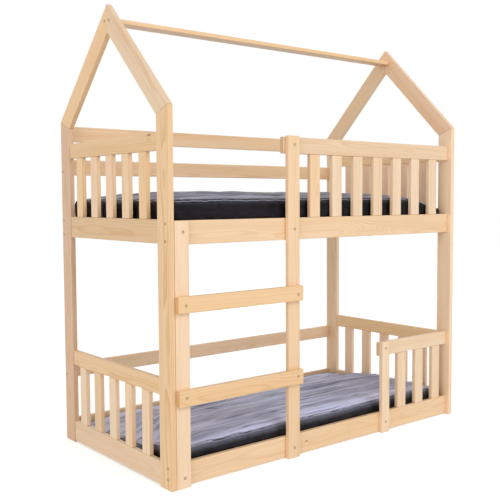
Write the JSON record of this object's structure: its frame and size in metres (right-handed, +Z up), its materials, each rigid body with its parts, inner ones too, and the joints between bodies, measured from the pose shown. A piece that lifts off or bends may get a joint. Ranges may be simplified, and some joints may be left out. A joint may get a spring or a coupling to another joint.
{
  "type": "house bunk bed",
  "caption": "Low house-shaped bunk bed: two gabled end frames joined by rails, front ladder, slatted guards, two slat bases and two loose foam mattresses.",
  "frame": {"origin": "on the floor, under the middle of the bed's bounding box", "axes": "+X along the bed towards the end away from the ladder, +Y from the ladder side to the back, +Z up"},
  "size_m": [1.67, 0.8924, 1.8586],
  "materials": {
    "pine": "clear satin lacquer",
    "base_wood": "planed, no lacquer",
    "dark_cover": "dark satin weave with fine lengthwise stripes"
  },
  "bodies": {
    "frame": {"front_left_post": "pine", "back_left_post": "pine", "front_right_post": "pine", "back_right_post": "pine", "front_left_rafter": "pine", "back_left_rafter": "pine", "front_right_rafter": "pine", "back_right_rafter": "pine", "ridge_batten": "pine", "lower_left_end_rail": "pine", "lower_left_end_top_rail": "pine", "lower_left_end_slat_1": "pine", "lower_left_end_slat_2": "pine", "lower_left_end_slat_3": "pine", "lower_left_end_slat_4": "pine", "lower_left_end_slat_5": "pine", "lower_right_end_rail_with_slats": "pine", "lower_right_end_top_rail": "pine", "lower_front_side_rail": "pine", "lower_back_side_rail": "pine", "lower_front_ledger": "pine", "lower_back_ledger": "pine", "upper_left_end_rail": "pine", "upper_left_end_top_rail": "pine", "upper_left_end_slat_1": "pine", "upper_left_end_slat_2": "pine", "upper_left_end_slat_3": "pine", "upper_left_end_slat_4": "pine", "upper_left_end_slat_5": "pine", "upper_right_end_rail_with_slats": "pine", "upper_right_end_top_rail": "pine", "upper_front_side_rail": "pine", "upper_back_side_rail": "pine", "upper_front_ledger": "pine", "upper_back_ledger": "pine", "lower_back_guard_rail": "pine", "upper_back_guard_rail_low": "pine", "upper_back_guard_rail_high": "pine", "upper_front_guard_rail": "pine", "upper_guard_slat_1": "pine", "upper_guard_slat_2": "pine", "upper_guard_slat_3": "pine", "upper_guard_slat_4": "pine", "upper_guard_slat_5": "pine", "upper_guard_slat_6": "pine", "upper_guard_slat_7": "pine", "lower_guard_stile": "pine", "lower_front_guard_rail": "pine", "lower_guard_slat_1": "pine", "lower_guard_slat_2": "pine", "lower_guard_slat_3": "pine", "left_ladder_stile": "pine", "right_ladder_stile": "pine", "low_rung": "pine", "high_rung": "pine", "lower_slat_base": "base_wood", "upper_slat_base": "base_wood"},
    "lower_mattress_body": {"lower_mattress": "dark_cover"},
    "upper_mattress_body": {"upper_mattress": "dark_cover"}
  },
  "joints": [
    {"name": "upper_mattress_lift", "type": "slide", "parent": "frame", "child": "upper_mattress_body", "axis": [0, 0, 1], "range_m": [0, 0.36]},
    {"name": "lower_mattress_lift", "type": "slide", "parent": "frame", "child": "lower_mattress_body", "axis": [0, 0, 1], "range_m": [0, 0.45]}
  ]
}
